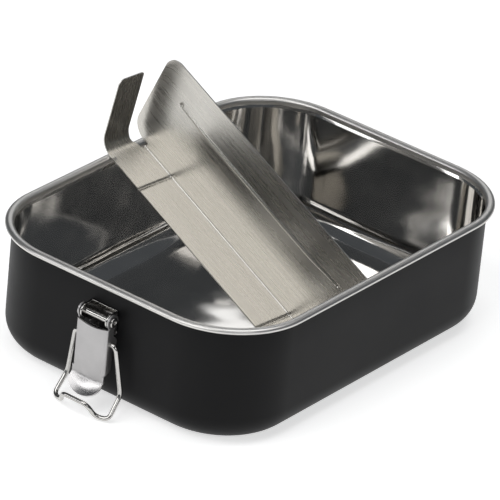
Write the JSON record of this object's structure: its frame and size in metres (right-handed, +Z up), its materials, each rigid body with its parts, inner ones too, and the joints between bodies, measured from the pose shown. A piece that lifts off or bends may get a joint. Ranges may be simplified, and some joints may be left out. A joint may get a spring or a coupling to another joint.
{
  "type": "metal lunch box",
  "caption": "Open steel lunch box tray in matt black with a polished inside, a rolled rim, a wire-bail latch at each end and a loose divider leaning in it.",
  "frame": {"origin": "centre of the flat underside of the tray, on the surface it stands on", "axes": "+X along the long side to the right latch, +Y across the tray to the wall the divider leans over, +Z up"},
  "size_m": [0.228, 0.1514, 0.1042],
  "materials": {
    "black_powder_coat": "fine matt powder coat",
    "brushed_steel": "lengthwise brushed grain",
    "satin_steel": "satin",
    "polished_steel": "polished"
  },
  "bodies": {
    "tray": {"pan": "black_powder_coat", "left_latch_base": "satin_steel", "left_hinge_pin": "polished_steel", "right_latch_base": "satin_steel", "right_hinge_pin": "polished_steel"},
    "left_lever": {"left_lever": "satin_steel"},
    "left_bail": {"left_bail": "polished_steel"},
    "right_lever": {"right_lever": "satin_steel"},
    "right_bail": {"right_bail": "polished_steel"},
    "divider": {"divider": "brushed_steel"}
  },
  "joints": [
    {"name": "left_lever_hinge", "type": "hinge", "parent": "tray", "child": "left_lever", "pos_m": [-0.1019, 0, 0.043], "axis": [0, 1, 0], "range_deg": [0, 155]},
    {"name": "left_bail_hinge", "type": "hinge", "parent": "left_lever", "child": "left_bail", "pos_m": [-0.102, 0, 0.0325], "axis": [0, -1, 0], "range_deg": [-178, 3]},
    {"name": "right_lever_hinge", "type": "hinge", "parent": "tray", "child": "right_lever", "pos_m": [0.1019, 0, 0.043], "axis": [0, -1, 0], "range_deg": [0, 155]},
    {"name": "right_bail_hinge", "type": "hinge", "parent": "right_lever", "child": "right_bail", "pos_m": [0.102, 0, 0.0325], "axis": [0, 1, 0], "range_deg": [-178, 3]},
    {"name": "divider_lift", "type": "slide", "parent": "tray", "child": "divider", "axis": [0, 0, 1], "range_m": [0, 0.075]}
  ]
}
